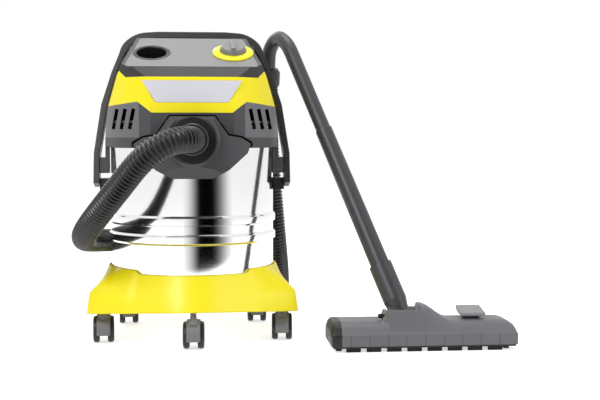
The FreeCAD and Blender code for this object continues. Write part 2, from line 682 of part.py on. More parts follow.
def control_panel():
    plate = panel_solid("panel_plate", "0", "panel_proud")
    holes = [cylinder("dial_hole", "dial_shaft + 2", "40", z="-20",
                      frame=on_panel("dial_side", "dial_up")),
             cylinder("blow_hole", "blow_radius + gap", "40", z="-20",
                      frame=on_panel("- blow_side", "dial_up"))]
    node("control_panel", cut("panel", plate, holes))


def blower():
    frame = on_panel("- blow_side", "dial_up")
    profile = [("blow_bore + 1", "- blow_depth"), ("blow_bore + 3", "- blow_depth"),
               ("blow_bore + 3", "-6"), ("blow_radius", "-3"), ("blow_radius", "panel_proud"),
               ("blow_radius - 4", "panel_proud + 0.8"), ("blow_bore + 2", "panel_proud + 0.8"),
               ("blow_bore", "panel_proud - 1"), ("blow_bore", "grille_room - blow_depth"),
               ("blow_bore + 1", "grille_room - blow_depth")]
    node("blower_socket", turned("blow_socket", profile, frame))
    low = "- blow_depth"
    rings = [cut("grille_ring", cylinder("outer", outer, "3", z=low, frame=frame),
                 [cylinder("inner", inner, "3", z=low, frame=frame)])
             for outer, inner in (("blow_bore + 0.9", "blow_bore - 2"), ("19.5", "17.5"),
                                  ("9.5", "7.5"))]
    spokes = []
    for turn in (0, 60, 120):
        turned_frame = frame.multiply(at("0", "0", "0", FreeCAD.Rotation(V(0, 0, 1), turn)))
        spokes.append(box("spoke", "-( blow_bore - 1 )", "blow_bore - 1", "-1", "1", low,
                          "3 - blow_depth", turned_frame))
    node("blower_grille", fuse("grille", rings + spokes))


def dial():
    frame = on_panel("dial_side", "dial_up", "panel_proud + gap")
    skirt = [("cap_radius", "0"), ("dial_radius", "0"), ("dial_radius", "2"),
             ("dial_radius - 6", "dial_height"), ("cap_radius", "dial_height")]
    node("knob_ring", turned("dial_skirt", skirt, frame))
    cap = [("0", "-26"), ("dial_shaft", "-26"), ("dial_shaft", "0"), ("cap_radius", "0"),
           ("cap_radius - 1.5", "cap_height - 2"), ("cap_radius - 4", "cap_height"),
           ("0", "cap_height")]
    pointer = box("pointer", "- pointer_width / 2", "pointer_width / 2", "3 - cap_radius",
                  "cap_radius - 3", "cap_height - 1", "cap_height + pointer_height", frame)
    node("knob_cap", fuse("cap", [turned("cap_body", cap, frame), pointer]))
    body = box("switch_box", "-18", "18", "-18", "18", "-32", "- panel_thick",
               on_panel("dial_side", "dial_up"))
    bore = cylinder("switch_bore", "dial_shaft + running", "30", z="-29",
                    frame=on_panel("dial_side", "dial_up"))
    node("switch_unit", cut("switch", body, [bore]))


def label_plate():
    plate = common("label", [label_solid("label_form", "0.4"),
                             slab("label_inset", "XZ", mirrored([
                                 ("label_bottom_half - gap", "label_bottom + gap"),
                                 ("label_top_half - gap", "label_top - gap")]),
                                 "-( head_front + 0.4 )", "-( head_front - 3.5 )")])
    node("label_plate", plate)


# ---------------------------------------------------------------------------------------
# Motor and fan under the panel, filter behind them, float below
# ---------------------------------------------------------------------------------------
MOTOR_BASE = "bulkhead + bulkhead_thick"


def motor_screw_places(name, radius, low, height):
    reach = value("motor_radius") + 8
    made = []
    for turn in (45, 135, 225, 315):
        x = reach * math.cos(math.radians(turn))
        y = value("motor_back") + reach * math.sin(math.radians(turn))
        made.append(cylinder(f"{name}_{turn}", radius, height, x, y, low))
    return made


def motor():
    frame = at("0", "motor_back", MOTOR_BASE)
    fan_top = "3 + fan_room"
    seat = f"{fan_top} + 3 + bearing_height"
    top = "motor_height"
    outer = "motor_radius"
    inner = "motor_radius - 3"
    grip = "bearing_radius + running"
    profile = [("22", "0"), (f"{outer} + 14", "0"), (f"{outer} + 14", "3"), (outer, "3"),
               (outer, top), ("bearing_radius + 3", top), ("bearing_radius - 3", top),
               ("bearing_radius - 3", f"{top} - 2"), (grip, f"{top} - 2"),
               (grip, f"{top} - 2 - bearing_height"),
               ("bearing_radius + 3", f"{top} - 2 - bearing_height"),
               ("bearing_radius + 3", f"{top} - 3"), (inner, f"{top} - 3"),
               (inner, f"{fan_top} + 3"), ("bearing_radius + 3", f"{fan_top} + 3"),
               ("bearing_radius + 3", seat), (grip, seat), (grip, f"{fan_top} + 3"),
               ("shaft_radius + 2", f"{fan_top} + 3"), ("shaft_radius + 2", fan_top),
               (inner, fan_top), (inner, "3"), ("22", "3")]
    shell = turned("motor_shell", profile, frame)
    holes = motor_screw_places("motor_screw_way", "2.2", "bulkhead", "20")
    node("motor_housing", cut("motor_drilled", shell, holes))
    bearings = doc.addObject("Part::Compound", "bearing_pair")
    bearings.Links = [
        turned("bearing", ring("shaft_radius + running", "bearing_radius", low,
                               f"{low} + bearing_height"), frame)
        for low in (f"{fan_top} + 3", f"{top} - 2 - bearing_height")]
    node("motor_bearings", bearings)
    low = f"{seat} + 8"
    high = f"{top} - bearing_height - 10"
    node("motor_stator", turned("stator", ring("armature_radius + 1", f"{inner} - 0.2", low, high),
                                frame))
    shaft = [("0", "6"), ("shaft_radius", "6"), ("shaft_radius", low), ("armature_radius", low),
             ("armature_radius", high), ("shaft_radius", high), ("shaft_radius", f"{top} - 2.5"),
             ("0", f"{top} - 2.5")]
    node("rotor_shaft", turned("rotor", shaft, frame))
    fan = [("shaft_radius", "6"), ("14", "6"), ("14", "8"), ("fan_radius", "8"),
           ("fan_radius", "9.5"), ("16", "9.5"), ("16", "6 + fan_height"),
           ("shaft_radius", "6 + fan_height")]
    hub = turned("fan_disc", fan, frame)
    blades = [box("blade", "15", "fan_radius - 1", "-1", "1", "9", "6 + fan_height",
                  frame.multiply(at("0", "0", "0", FreeCAD.Rotation(V(0, 0, 1), 40 * turn))))
              for turn in range(9)]
    node("fan", fuse("fan_and_blades", [hub] + blades))
    shanks = motor_screw_places("head_screw", "2", "bulkhead - 3", "12")
    heads = motor_screw_places("head_screw_head", "4", "bulkhead - 3", "3")
    screws = doc.addObject("Part::Compound", "head_screw_set")
    screws.Links = [fuse("head_screw_whole", [shank, head]) for shank, head in zip(shanks, heads)]
    node("head_screws", screws)


def filter_set():
    base = MOTOR_BASE
    frame = cut("frame", box("frame_box", "-( filter_half + 6 )", "filter_half + 6",
                             "filter_front - 6", "filter_rear + 6", base,
                             f"{base} + filter_frame"),
                [box("frame_hole", "-( filter_half - 4 )", "filter_half - 4",
                     "filter_front + 4", "filter_rear - 4", base, f"{base} + filter_frame")])
    motor_room = cylinder("frame_room", "motor_radius + 15", "40", "0", "motor_back", base)
    node("filter_frame", cut("frame_by_motor", frame, [motor_room]))
    pitch = value("filter_half") * 2 / value("pleat_count")
    low = f"{base} + filter_frame"
    high = f"{low} + pleat_height"
    count = int(value("pleat_count"))
    crests = [-value("filter_half") + pitch * (index + 0.5) for index in range(count)]
    outline = [(crests[0] - pitch / 2, low)]
    for crest in crests[:-1]:
        outline += [(crest, high), (crest + pitch / 2, f"{low} + 8")]
    outline += [(crests[-1], high), (crests[-1] + pitch / 2, low),
                (crests[-1] + pitch / 2 - 2, low)]
    for crest in reversed(crests[1:]):
        outline += [(crest, f"{high} - 8"), (crest - pitch / 2, low)]
    outline += [(crests[0], f"{high} - 8"), (crests[0] - pitch / 2 + 2, low)]
    node("pleated_filter", slab("pleats", "XZ", outline, "filter_front", "filter_rear"))


def float_valve():
    frame = at("0", "float_y", "bulkhead")
    cage = turned("cage_ring", [
        ("float_radius - 5", "-3"), ("float_radius + 10", "-3"), ("float_radius + 10", "0"),
        ("float_radius - 5", "0")], frame)
    foot = turned("cage_foot", ring("float_radius - 8", "float_radius + 5", "- cage_depth",
                                    "3 - cage_depth"), frame)
    ribs = []
    for turn in range(6):
        turned_frame = frame.multiply(at("0", "0", "0", FreeCAD.Rotation(V(0, 0, 1), 60 * turn)))
        ribs.append(box("cage_rib", "float_radius + 1", "float_radius + 4", "-3", "3",
                        "1 - cage_depth", "-2", turned_frame))
    node("float_cage", fuse("cage", [cage, foot] + ribs))
    cup = [("0", "3.3 - cage_depth"), ("float_radius - 1", "3.3 - cage_depth"),
           ("float_radius", "6 - cage_depth"), ("float_radius", "-6 - float_travel"),
           ("float_radius - 3", "-3.5 - float_travel"), ("0", "-3.5 - float_travel")]
    node("float_cup", turned("cup", cup, frame))


def small_parts():
    seal = ring("collar_inner", "collar_inner + collar_wall", "collar_top + gap", "bulkhead")
    node("head_seal", turned("seal", seal))
    gland = [("4", "0"), ("12", "0"), ("12", "3"), ("9", "3"), ("9", "18"), ("6", "24"),
             ("4", "24")]
    # the cord's gland stands in the rear wall, its flange inside
    rear = at("-92", "128", "396", TURNS["Y"])
    node("cord_gland", turned("gland", gland, rear))
    upright = slab("hook_side", "YZ", [
        ("head_rear + gap", "376"), ("head_rear + 20", "376"), ("head_rear + 20", "396"),
        ("head_rear + 16", "396"), ("head_rear + 16", "380"), ("head_rear + 4", "380"),
        ("head_rear + 4", "426"), ("head_rear + gap", "426")], "60", "90")
    limit = cylinder("hook_limit", "plan_radius + gap", "200", "0", "plan_shift", "300")
    node("cable_hook", cut("hook", fuse("hook_parts", [upright, hook_root()]), [limit]))


def hook_root():
    return box("hook_back", "60", "90", "120", "head_rear + 4", "376", "426")


head_shells()
control_panel()
blower()
dial()
label_plate()
motor()
filter_set()
float_valve()
small_parts()

# ---------------------------------------------------------------------------------------
# Bow handle: turns on two pins in the head's side ears, leaning back at rest
# ---------------------------------------------------------------------------------------


def bow_handle():
    outer = [("bow_side", "-38"), ("bow_side", "20"), ("182", "65"), ("175", "117"),
             ("156", "182"), ("141", "222"), ("124", "250", "46"), ("92", "bow_reach - 2", "60"),
             ("66", "bow_reach")]
    inner = [("bow_side - arm_thick", "-38"), ("bow_side - arm_thick", "20"),
             ("182 - arm_thick", "65"), ("175 - arm_thick", "115"), ("147", "179"),
             ("132", "217"), ("118", "239"), ("97", "bow_reach - bar_thick - 2"),
             ("64", "bow_reach - bar_thick")]
    left_outer = [(f"-( {point[0]} )", point[1]) for point in reversed(outer)]
    left_outer[2] = left_outer[2] + ("60",)
    left_outer[3] = left_outer[3] + ("46",)
    left_inner = [(f"-( {point[0]} )", point[1]) for point in inner]
    outline = outer + left_outer + left_inner + list(reversed(inner))
    bow = slab("bow", "XZ", outline, "- bow_width / 2", "bow_width / 2")
    lean = FreeCAD.Rotation(V(1, 0, 0), -value("bow_lean"))
    bow.Placement = at("0", "0", "bow_pivot", lean)
    bore = cylinder("bow_bore", "pin_radius + running", "500", "-250", "0", "bow_pivot", "X")
    node("bow_handle", cut("bow_bored", bow, [bore]))
    pins = doc.addObject("Part::Compound", "pin_pair")
    reach = "bow_side - can_radius - 6"
    pins.Links = [cylinder("pin", "pin_radius", reach, "can_radius + 5", "0", "bow_pivot", "X"),
                  cylinder("pin", "pin_radius", reach, "- bow_side + 1", "0", "bow_pivot", "X")]
    node("bow_pins", pins)


bow_handle()

# ---------------------------------------------------------------------------------------
# Wand: neck with the pivot barrel, suction tube and curved grip, along one leaning axis
# ---------------------------------------------------------------------------------------


def wand():
    frame = wand_frame()
    level = at("wand_x", "wand_y", "wand_z")
    barrel = cylinder("barrel", "barrel_radius", "barrel_half * 2", "- barrel_half", "0", "0", "X",
                      level)
    sleeve = cylinder("sleeve", "neck_radius", "neck_length - 30", z="30", frame=frame)
    stalk = cone("stalk", "15", "neck_radius", "31", frame)
    bore = cylinder("neck_bore", "tube_radius_low + gap", "40", z="neck_length - 39", frame=frame)
    duct = cylinder("neck_duct", "12", "neck_length", z="0", frame=frame)
    pin_way = cylinder("pin_way", "4 + running", "100", "-50", "0", "0", "X", level)
    node("wand_neck", cut("neck", fuse("neck_solid", [barrel, sleeve, stalk]),
                          [bore, duct, pin_way]))
    start = "neck_length - 38"
    outer = cone("tube_outside", "tube_radius_low", "tube_radius_high", "tube_length + 38",
                 frame.multiply(at("0", "0", start)))
    inner = cone("tube_inside", "tube_radius_low - tube_wall", "tube_radius_high - tube_wall",
                 "tube_length + 38", frame.multiply(at("0", "0", start)))
    node("suction_tube", cut("tube", outer, [inner]))
    base = frame.multiply(at("0", "0", "neck_length + tube_length"))
    up = frame.Rotation.multVec(V(0, 0, 1))
    foot = base.Base - up * 34
    crown = base.Base + up * value("grip_length")
    route = [foot, crown] + [V(*point) for point in GRIP_END]
    node("grip_tube", bent_tube("grip", route, value("grip_radius"),
                                value("grip_radius - grip_wall")))
    tip = route[-1]
    heading = (route[-1] - route[-2]).normalize()
    turn = FreeCAD.Rotation(V(0, 0, 1), heading)
    cuff_frame = FreeCAD.Placement(tip, turn)
    profile = [("0", "-22"), ("grip_radius - grip_wall - gap", "-22"),
               ("grip_radius - grip_wall - gap", "gap"), ("20", "gap"), ("cuff_radius - 4", "8"),
               ("cuff_radius - 4", "34"), ("0", "34")]
    node("hose_cuff_grip", turned("grip_cuff", profile, cuff_frame))
    print("hose end should be", tip + heading * 34, "heading", heading)


# the curved end of the grip, from its crown down to the hose's cuff
GRIP_END = ((176, 134, 592), (160, 160, 566), (159, 170, 528))
wand()

# ---------------------------------------------------------------------------------------
# Floor nozzle: shell, sole with skids, sealing strips on a slide, foot pedal and pivot pin
# ---------------------------------------------------------------------------------------


def floor_nozzle():
    shell = slab("nozzle_form", "YZ", [
        ("nozzle_front", "nozzle_bottom"), ("nozzle_rear", "nozzle_bottom"),
        ("nozzle_rear", "nozzle_top - 14"), ("nozzle_rear - 16", "nozzle_top"),
        ("nozzle_front + 34", "nozzle_top"), ("nozzle_front + 8", "nozzle_bottom + 22"),
        ("nozzle_front", "nozzle_bottom + 20")], "nozzle_left", "nozzle_right")
    wall = "nozzle_wall"
    room = slab("nozzle_room", "YZ", [
        (f"nozzle_front + {wall}", "nozzle_bottom - 5"), (f"nozzle_rear - {wall}",
         "nozzle_bottom - 5"), (f"nozzle_rear - {wall}", "nozzle_top - 16"),
        ("nozzle_rear - 17", f"nozzle_top - {wall}"),
        ("nozzle_front + 36", f"nozzle_top - {wall}"),
        (f"nozzle_front + {wall}", "nozzle_bottom + 18")],
        f"nozzle_left + {wall}", f"nozzle_right - {wall}")
    hump = slab("hump", "YZ", [
        ("wand_y - 30", "nozzle_bottom + 22"), ("wand_y + 58", "nozzle_bottom + 22"),
        ("wand_y + 46", "nozzle_top"), ("wand_y + 34", "wand_z + 10"),
        ("wand_y + 14", "hump_top"),
        ("wand_y - 10", "hump_top"), ("wand_y - 26", "nozzle_top + 4")],
        "hump_left", "hump_right")
    outside = fuse("nozzle_outside", [cut("nozzle_hollow", shell, [room]), hump])
    pocket = cylinder("barrel_pocket", "barrel_radius + gap * 2", "barrel_half * 2 + 2",
                      "-( barrel_half + 1 )", "0", "0", "X", at("wand_x", "wand_y", "wand_z"))
    above = slab("swing_room", "YZ", [
        ("wand_y - 45", "wand_z - 4"), ("wand_y + 8", "wand_z - 4"),
        ("wand_y + 60", "wand_z - 26"), ("wand_y + 60", "150"),
        ("wand_y - 45", "150")], "wand_x - 33", "wand_x + barrel_half + 1")
    pins = cylinder("pin_seat", "4.3", "100", "wand_x - 50", "wand_y", "wand_z", "X")
    way = box("neck_way", "wand_x - 11", "wand_x + 11", "wand_y - 11", "wand_y + 11",
              "nozzle_bottom", "wand_z")
    pedal_well = box("pedal_well", "pedal_left - 1", "pedal_right + 1", "nozzle_front + 40",
                     "nozzle_rear - 20", "nozzle_top - 12", "100")
    cheek_ways = [
        box("cheek_rear", "hump_left - 1", "wand_x - 32", "wand_y + 13", "wand_y + 60",
            "nozzle_top", "150"),
        box("cheek_top", "hump_left - 1", "wand_x - 32", "wand_y - 45", "wand_y + 60",
            "wand_z + 9", "150")]
    grooves = []
    pitch = (value("nozzle_right") - value("nozzle_left")) / 10
    for index in range(1, 10):
        x = value("nozzle_left") + pitch * index
        grooves.append(box("groove", f"{x} - groove_width / 2", f"{x} + groove_width / 2",
                           "nozzle_front - 5", "nozzle_front + groove_depth", "nozzle_bottom - 1",
                           "nozzle_bottom + 19"))
    node("nozzle_shell", cut("nozzle", outside, [pocket, above, pins, way, pedal_well] + cheek_ways + grooves))
    tread_frame = at("0", "nozzle_front + 58", "nozzle_top + 6")
    pedal = slab("pedal_plate", "YZ", [
        ("-24", "0"), ("-24", "5"), ("0", "9"), ("24", "pedal_top - nozzle_top - 6"),
        ("24", "6"), ("4", "0")], "pedal_left", "pedal_right")
    pedal.Placement = tread_frame
    stub = cylinder("pedal_stub", "3", "pedal_right - pedal_left + 8", "pedal_left - 4",
                    "nozzle_front + 58", "nozzle_top - 6", "X")
    web = box("pedal_web", "pedal_left + 6", "pedal_right - 6", "nozzle_front + 55",
              "nozzle_front + 61", "nozzle_top - 7", "nozzle_top + 8")
    node("foot_pedal", fuse("pedal", [pedal, stub, web]))
    node("nozzle_pin", cylinder("pivot_pin", "4", "86", "wand_x - 43", "wand_y", "wand_z", "X"))
    sole_and_strips()


def sole_and_strips():
    inset = "( nozzle_wall + gap )"
    plate = box("sole_plate", f"nozzle_left + {inset}", f"nozzle_right - {inset}",
                f"nozzle_front + {inset}", f"nozzle_rear - {inset}", "nozzle_bottom - 3",
                "nozzle_bottom + 2")
    mouth = box("mouth", "nozzle_left + 30", "nozzle_right - 30", "nozzle_front + 22",
                "nozzle_front + 62", "0", "40")
    ways = [box("strip_way", "nozzle_left + 8", "nozzle_right - 8", low, high, "0", "40")
            for low, high in (("nozzle_front + 8.6", "nozzle_front + 14.4"),
                              ("nozzle_rear - 21.4", "nozzle_rear - 15.6"))]
    skids = [box("skid", low, high, "nozzle_front + 24", "nozzle_rear - 26", "0",
                 "nozzle_bottom - 2")
             for low, high in (("nozzle_left + 10", "nozzle_left + 20"),
                               ("nozzle_right - 20", "nozzle_right - 10"))]
    node("nozzle_sole", fuse("sole", [cut("sole_open", plate, [mouth] + ways)] + skids))
    strips = []
    for y in ("nozzle_front + 9", "nozzle_rear - 21"):
        back = box("strip_back", "nozzle_left + 10", "nozzle_right - 10", y, f"{y} + strip_thick",
                   "8", "nozzle_bottom + 12")
        tabs = []
        first = (value("nozzle_left") + value("nozzle_right")) / 2             - value("tab_pitch") * (value("tab_count") - 1) / 2
        for index in range(int(value("tab_count"))):
            x = first + value("tab_pitch") * index
            tabs.append(box("tab", f"{x} - tab_width / 2", f"{x} + tab_width / 2", y,
                            f"{y} + strip_thick", "0", "9"))
        strips.append(fuse("strip", [back] + tabs))
    pair = doc.addObject("Part::Compound", "strip_pair")
    pair.Links = strips
    node("sealing_strips", pair)


floor_nozzle()

# ---------------------------------------------------------------------------------------
# Check every object and write each sub-part
# ---------------------------------------------------------------------------------------
doc.recompute()
faults = [obj.Name for obj in doc.Objects if {"Invalid", "Error"} & set(obj.State)]
for name, obj in NODES.items():
    if obj.Shape.isNull() or not obj.Shape.isValid() or not obj.Shape.Solids:
        faults.append(name)
if faults:
    raise RuntimeError(f"these objects failed: {faults}")
os.makedirs("parts", exist_ok=True)
for name, obj in NODES.items():
    obj.Shape.exportStep(f"parts/{name}.step")
    shape = obj.Shape.BoundBox
    print(f"{name}: {len(obj.Shape.Solids)} solids,",
          f"X {shape.XMin:.0f} {shape.XMax:.0f} Y {shape.YMin:.0f} {shape.YMax:.0f}",
          f"Z {shape.ZMin:.0f} {shape.ZMax:.0f} volume {obj.Shape.Volume / 1000:.0f}")
print(len(NODES), "nodes")
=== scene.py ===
import math

import bpy
import numpy as np
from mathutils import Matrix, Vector


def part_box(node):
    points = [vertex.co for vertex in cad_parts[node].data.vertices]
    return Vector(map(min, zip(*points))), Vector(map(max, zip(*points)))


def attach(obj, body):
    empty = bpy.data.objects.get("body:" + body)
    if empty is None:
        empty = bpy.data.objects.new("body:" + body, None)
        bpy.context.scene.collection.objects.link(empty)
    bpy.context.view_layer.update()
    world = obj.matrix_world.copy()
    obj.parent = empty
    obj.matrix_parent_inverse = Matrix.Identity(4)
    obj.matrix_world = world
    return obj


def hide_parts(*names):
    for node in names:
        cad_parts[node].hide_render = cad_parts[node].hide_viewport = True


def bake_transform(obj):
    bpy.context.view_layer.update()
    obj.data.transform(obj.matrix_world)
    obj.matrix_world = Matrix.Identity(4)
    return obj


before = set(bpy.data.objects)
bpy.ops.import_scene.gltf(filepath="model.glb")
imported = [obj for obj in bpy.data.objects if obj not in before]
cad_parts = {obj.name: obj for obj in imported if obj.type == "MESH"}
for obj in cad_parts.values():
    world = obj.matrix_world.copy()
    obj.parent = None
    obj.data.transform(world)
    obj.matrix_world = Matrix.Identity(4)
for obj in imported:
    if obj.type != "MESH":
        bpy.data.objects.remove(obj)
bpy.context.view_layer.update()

# Camera and studio. The vacuum stands on a pale floor under a white sky, lit by soft lamps.
# A black card stands in front, out of sight: only the polished container mirrors it.
camera = bpy.data.objects.new("camera", bpy.data.cameras.new("camera"))
camera.location = (0, -2.2, 0.39)
camera.rotation_euler = (math.radians(86.67), 0, math.radians(-5.44))
camera.data.lens = 67.7
bpy.context.scene.collection.objects.link(camera)
bpy.context.scene.camera = camera
bpy.context.scene.view_settings.view_transform = "Standard"


def seen_rays(tree):
    """The largest of Light Path's camera, glossy and transmission masks."""
    path = tree.nodes.new("ShaderNodeLightPath")
    seen = path.outputs["Is Camera Ray"]
    for name in ("Is Glossy Ray", "Is Transmission Ray"):
        larger = tree.nodes.new("ShaderNodeMath")
        larger.operation = "MAXIMUM"
        tree.links.new(seen, larger.inputs[0])
        tree.links.new(path.outputs[name], larger.inputs[1])
        seen = larger.outputs[0]
    return seen


world = bpy.data.worlds.new("studio")
world.use_nodes = True
bpy.context.scene.world = world
sky = world.node_tree
sky_mix = sky.nodes.new("ShaderNodeMixShader")
plain_sky = sky.nodes["Background"]
plain_sky.inputs["Color"].default_value = (1, 1, 1, 1)
plain_sky.inputs["Strength"].default_value = 0.5
white_sky = sky.nodes.new("ShaderNodeBackground")
white_sky.inputs["Color"].default_value = (1, 1, 1, 1)
sky.links.new(seen_rays(sky), sky_mix.inputs[0])
sky.links.new(plain_sky.outputs[0], sky_mix.inputs[1])
sky.links.new(white_sky.outputs[0], sky_mix.inputs[2])
sky.links.new(sky_mix.outputs[0], sky.nodes["World Output"].inputs["Surface"])

for name, place, size, power in (("key", (-1.2, -1.9, 1.9), 0.9, 31),
                                 ("fill", (1.7, -1.5, 1.2), 1.1, 11),
                                 ("top", (0.1, 0.3, 2.2), 1.0, 14),
                                 ("rear", (-0.6, 2.0, 1.5), 1.2, 15)):
    light = bpy.data.objects.new(name, bpy.data.lights.new(name, "AREA"))
    light.data.size = size
    light.data.energy = power
    light.location = place
    aim = Vector((0.1, 0, 0.3)) - light.location
    light.rotation_euler = aim.to_track_quat("-Z", "Y").to_euler()
    bpy.context.scene.collection.objects.link(light)


def new_piece(name, points, faces, crease=35):
    """A mesh of these points and faces, smooth but for edges sharper than crease degrees."""
    mesh = bpy.data.meshes.new(name)
    mesh.from_pydata(points, [], faces)
    mesh.update()
    mesh.shade_smooth()
    mesh.set_sharp_from_angle(angle=math.radians(crease))
    piece = bpy.data.objects.new(name, mesh)
    bpy.context.scene.collection.objects.link(piece)
    return piece


def new_material(name):
    """An empty node material, with its tree and its Principled shader."""
    material = bpy.data.materials.new(name)
    material.use_nodes = True
    tree = material.node_tree
    return material, tree, tree.nodes["Principled BSDF"]


floor_half = 6
floor = new_piece("floor", [(-floor_half, -floor_half, 0), (floor_half, -floor_half, 0),
                            (floor_half, floor_half, 0), (-floor_half, floor_half, 0)],
                  [(0, 1, 2, 3)])
floor_white, floor_tree, floor_shader = new_material("floor_white")
floor_shader.inputs["Base Color"].default_value = (0.85, 0.85, 0.85, 1)
floor_shader.inputs["Roughness"].default_value = 0.9
floor_shader.inputs["Specular IOR Level"].default_value = 0
floor_shader.inputs["Emission Color"].default_value = (1, 1, 1, 1)
lift = floor_tree.nodes.new("ShaderNodeMath")
lift.operation = "MULTIPLY"
lift.inputs[1].default_value = 0.62
floor_tree.links.new(seen_rays(floor_tree), lift.inputs[0])
floor_tree.links.new(lift.outputs[0], floor_shader.inputs["Emission Strength"])
floor.data.materials.append(floor_white)

# The card's glow falls from white at its edges to black along its middle.
card_front = -0.75
card_height = 1.2
card_edges = (-0.15, 0.118, 0.335, 0.97)
card = new_piece("black_card", [(card_edges[0], card_front, 0), (card_edges[3], card_front, 0),
                                (card_edges[3], card_front, card_height),
                                (card_edges[0], card_front, card_height)],
                 [(0, 1, 2, 3)])
card_black, card_tree, card_shader = new_material("card_black")
card_shader.inputs["Base Color"].default_value = (0, 0, 0, 1)
card_shader.inputs["Specular IOR Level"].default_value = 0
card_shader.inputs["Emission Strength"].default_value = 1
card_where = card_tree.nodes.new("ShaderNodeTexCoord")
card_split = card_tree.nodes.new("ShaderNodeSeparateXYZ")
card_tree.links.new(card_where.outputs["Object"], card_split.inputs[0])
glow = card_tree.nodes.new("ShaderNodeValToRGB")
card_width = card_edges[3] - card_edges[0]
glow.color_ramp.elements[0].color = (1, 1, 1, 1)
for edge in card_edges[1:3]:
    dark = glow.color_ramp.elements.new((edge - card_edges[0]) / card_width)
    dark.color = (0, 0, 0, 1)
glow.color_ramp.interpolation = "EASE"
spread = card_tree.nodes.new("ShaderNodeMapRange")
spread.inputs["From Min"].default_value = card_edges[0]
spread.inputs["From Max"].default_value = card_edges[3]
card_tree.links.new(card_split.outputs["X"], spread.inputs["Value"])
card_tree.links.new(spread.outputs["Result"], glow.inputs["Fac"])
card_tree.links.new(glow.outputs["Color"], card_shader.inputs["Emission Color"])
card.data.materials.append(card_black)
card.visible_camera = False
card.visible_diffuse = False
card.visible_shadow = False


# Suction hose. A black blow-moulded polyethylene corrugated hose, 46 mm across, pushed into
# a turned cuff at each end. It leaves the port, hangs over the left side, lies on the floor
# behind the vacuum and climbs to the wand's grip.
HOSE_ROUTE = [
    (0, -0.214, 0.381), (0, -0.251, 0.381), (-0.020, -0.286, 0.382), (-0.056, -0.300, 0.370),
    (-0.090, -0.291, 0.343), (-0.120, -0.267, 0.305), (-0.150, -0.238, 0.268),
    (-0.176, -0.200, 0.236), (-0.194, -0.150, 0.212), (-0.202, -0.082, 0.196),
    (-0.198, 0, 0.186), (-0.178, 0.084, 0.178), (-0.132, 0.162, 0.170), (-0.084, 0.236, 0.150),
    (-0.050, 0.310, 0.108), (-0.014, 0.396, 0.066), (0.030, 0.474, 0.036), (0.098, 0.512, 0.025),
    (0.160, 0.490, 0.025), (0.191, 0.426, 0.025), (0.194, 0.352, 0.031), (0.190, 0.284, 0.072),
    (0.181, 0.240, 0.146), (0.172, 0.222, 0.236), (0.164, 0.212, 0.322),
    (0.1585, 0.203, 0.402), (0.1569, 0.1913, 0.4468), (0.1581, 0.1787, 0.4948),
]
hose_radius = 0.023
rib_pitch = 0.0072
rib_depth = 0.0032
rows_per_rib = 7

route = bpy.data.curves.new("hose_route", "CURVE")
route.dimensions = "3D"
spline = route.splines.new("NURBS")
spline.points.add(len(HOSE_ROUTE) - 1)
for point, place in zip(spline.points, HOSE_ROUTE):
    point.co = (*place, 1)
spline.order_u = 3
spline.use_endpoint_u = True
spline.resolution_u = 24
route_object = bpy.data.objects.new("hose_route", route)
route_mesh = bpy.data.meshes.new_from_object(route_object)
hose_line = np.array([vertex.co[:] for vertex in route_mesh.vertices])
bpy.data.objects.remove(route_object)


def spaced(line, count):
    """Points at equal lengths along a line, with the length up to each."""
    steps = np.linalg.norm(np.diff(line, axis=0), axis=1)
    run = np.concatenate([[0], np.cumsum(steps)])
    along = np.linspace(0, run[-1], count)
    return np.stack([np.interp(along, run, line[:, axis]) for axis in range(3)], axis=1), along


def side_vectors(line):
    """Two unit vectors across a line at each point, carried along it without twist."""
    forward = np.gradient(line, axis=0)
    forward /= np.linalg.norm(forward, axis=1)[:, None]
    side = np.cross(forward[0], (0.3, 0.2, 0.93))
    sides = []
    for heading in forward:
        side = side - heading * side.dot(heading)
        side = side / np.linalg.norm(side)
        sides.append(side)
    sides = np.array(sides)
    return sides, np.cross(forward, sides)


def skin(name, grid, around=True, capped=True, crease=35):
    """Quads over a grid of points, rows by columns. Columns close into rings when around is
    true, and a fan to the middle closes the first and the last ring when capped is."""
    rows, columns = grid.shape[:2]
    index = np.arange(rows * columns).reshape(rows, columns)
    if around:
        index = np.hstack([index, index[:, :1]])
    quads = np.stack([index[:-1, :-1], index[:-1, 1:], index[1:, 1:], index[1:, :-1]], axis=-1)
    faces = quads.reshape(-1, 4).tolist()
    points = grid.reshape(-1, 3)
    if capped:
        first, last = len(points), len(points) + 1
        points = np.vstack([points, grid[0].mean(axis=0), grid[-1].mean(axis=0)])
        faces += [(b, a, first) for a, b in zip(index[0, :-1].tolist(), index[0, 1:].tolist())]
        faces += [(a, b, last) for a, b in zip(index[-1, :-1].tolist(), index[-1, 1:].tolist())]
    return new_piece(name, points.tolist(), faces, crease)


def tube(name, line, radii, columns=32, crease=35):
    """A round surface: each point of the line plus its radius times the cosine and sine of
    the angle along the two side vectors, closed at both ends."""
    sides, ups = side_vectors(line)
    turn = np.linspace(0, 2 * math.pi, columns, endpoint=False)
    ring = np.cos(turn)[None, :, None] * sides[:, None] + np.sin(turn)[None, :, None] * ups[:, None]
    return skin(name, line[:, None] + radii[:, None, None] * ring, crease=crease)


hose_length = np.linalg.norm(np.diff(hose_line, axis=0), axis=1).sum()
rib_count = round(hose_length / rib_pitch)
hose_path, hose_along = spaced(hose_line, rib_count * rows_per_rib + 1)
wave = 0.5 + 0.5 * np.cos(2 * math.pi * rib_count * hose_along / hose_length)
hose = tube("suction_hose", hose_path, hose_radius - rib_depth * wave ** 1.6, 26, crease=80)


